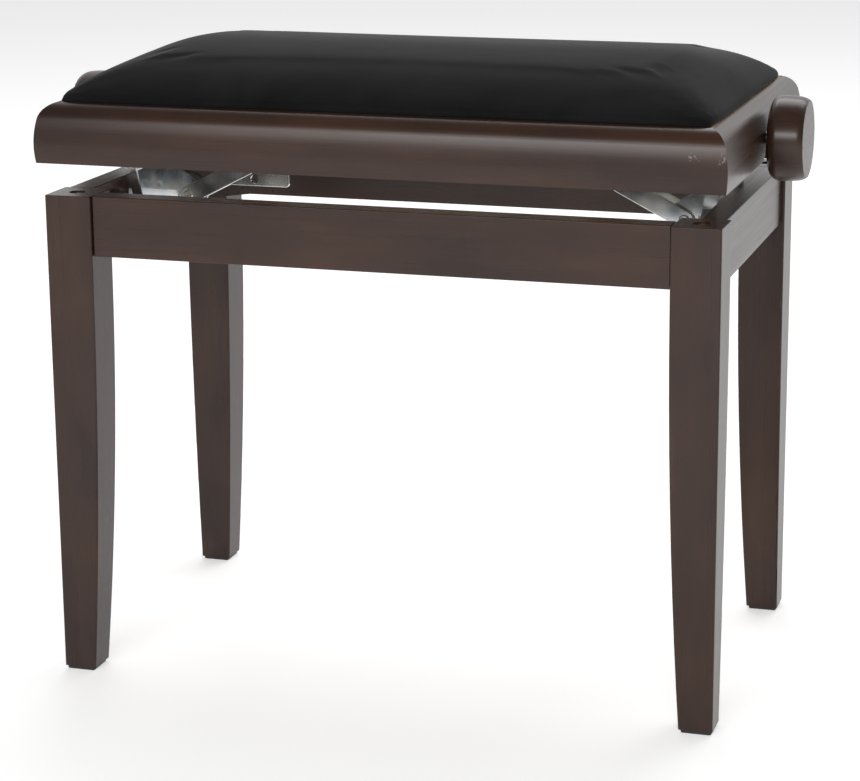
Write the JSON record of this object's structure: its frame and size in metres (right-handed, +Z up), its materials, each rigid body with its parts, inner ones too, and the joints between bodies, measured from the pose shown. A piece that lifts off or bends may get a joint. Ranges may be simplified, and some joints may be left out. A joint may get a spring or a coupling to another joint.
{
  "type": "adjustable piano bench",
  "caption": "Wooden piano bench with a padded velvet seat that a turned knob raises and lowers on a spindle and a steel arm linkage.",
  "frame": {"origin": "on the floor under the middle of the bench", "axes": "+Z up, +X along the bench towards the right-hand knob, +Y from the player's side to the piano side"},
  "size_m": [0.614, 0.332, 0.505],
  "materials": {
    "stained_wood": "hardwood stained dark walnut under satin lacquer",
    "plywood": "birch plywood",
    "velvet": "black short-pile velvet",
    "brass": "turned brass",
    "bronze": "sintered bronze",
    "black_plastic": "moulded black plastic",
    "bright_steel": "drawn and threaded bright steel",
    "zinc_steel": "pressed steel sheet, bright zinc plated"
  },
  "bodies": {
    "leg_frame": {"back_apron": "stained_wood", "back_left_leg": "stained_wood", "back_right_leg": "stained_wood", "base_bracket_screws": "zinc_steel", "brace_screws": "zinc_steel", "corner_braces": "stained_wood", "front_apron": "stained_wood", "front_left_leg": "stained_wood", "front_right_leg": "stained_wood", "left_apron": "stained_wood", "left_base_bracket": "zinc_steel", "leg_glides": "black_plastic", "leg_inserts": "brass", "right_apron": "stained_wood", "right_base_bracket": "zinc_steel"},
    "seat": {"back_seat_rail": "stained_wood", "board_screws": "zinc_steel", "cushion_board": "plywood", "front_seat_rail": "stained_wood", "left_seat_bracket": "zinc_steel", "left_seat_rail": "stained_wood", "right_seat_bracket": "zinc_steel", "right_seat_rail": "stained_wood", "seat_bracket_screws": "zinc_steel", "seat_corner_blocks": "stained_wood", "seat_cushion": "velvet", "spindle_bushes": "bronze"},
    "spindle": {"knob_pins": "zinc_steel", "left_knob": "stained_wood", "right_knob": "stained_wood", "spindle": "bright_steel", "spindle_collars": "zinc_steel"},
    "left_nut": {"left_nut": "zinc_steel"},
    "right_nut": {"right_nut": "zinc_steel"},
    "left_arm": {"left_arm_pins": "zinc_steel", "left_front_arm": "zinc_steel", "left_rear_arm": "zinc_steel"},
    "right_arm": {"right_arm_pins": "zinc_steel", "right_front_arm": "zinc_steel", "right_rear_arm": "zinc_steel"},
    "left_link": {"left_front_link": "zinc_steel", "left_link_pins": "zinc_steel", "left_rear_link": "zinc_steel"},
    "right_link": {"right_front_link": "zinc_steel", "right_link_pins": "zinc_steel", "right_rear_link": "zinc_steel"}
  },
  "joints": [
    {"name": "seat_lift", "type": "slide", "parent": "leg_frame", "child": "seat", "axis": [0, 0, 1], "range_m": [-0.024, 0.066]},
    {"name": "spindle_turn", "type": "hinge", "parent": "seat", "child": "spindle", "pos_m": [0, 0, 0.4388], "axis": [-1, 0, 0], "range_deg": [-1504.51, 4117.36]},
    {"name": "left_nut_slide", "type": "slide", "parent": "seat", "child": "left_nut", "axis": [-1, 0, 0], "range_m": [-0.02538, 0.06893]},
    {"name": "left_arm_pivot", "type": "hinge", "parent": "leg_frame", "child": "left_arm", "pos_m": [-0.2115, 0, 0.3715], "axis": [0, -1, 0], "range_deg": [-13.81, 37.79]},
    {"name": "left_link_pivot", "type": "hinge", "parent": "seat", "child": "left_link", "pos_m": [-0.2115, 0, 0.4388], "axis": [0, 1, 0], "range_deg": [-13.81, 37.79]},
    {"name": "right_nut_slide", "type": "slide", "parent": "seat", "child": "right_nut", "axis": [1, 0, 0], "range_m": [-0.02538, 0.06893]},
    {"name": "right_arm_pivot", "type": "hinge", "parent": "leg_frame", "child": "right_arm", "pos_m": [0.2115, 0, 0.3715], "axis": [0, 1, 0], "range_deg": [-13.81, 37.79]},
    {"name": "right_link_pivot", "type": "hinge", "parent": "seat", "child": "right_link", "pos_m": [0.2115, 0, 0.4388], "axis": [0, -1, 0], "range_deg": [-13.81, 37.79]}
  ],
  "couplings": [
    {"joint": "spindle_turn", "follows": "seat_lift", "rad_per_m": 1085.8},
    {"joint": "left_nut_slide", "follows": "seat_lift", "ratio": 1.0368},
    {"joint": "left_arm_pivot", "follows": "seat_lift", "rad_per_m": 9.9623},
    {"joint": "left_link_pivot", "follows": "seat_lift", "rad_per_m": 9.9623},
    {"joint": "right_nut_slide", "follows": "seat_lift", "ratio": 1.0368},
    {"joint": "right_arm_pivot", "follows": "seat_lift", "rad_per_m": 9.9623},
    {"joint": "right_link_pivot", "follows": "seat_lift", "rad_per_m": 9.9623}
  ]
}
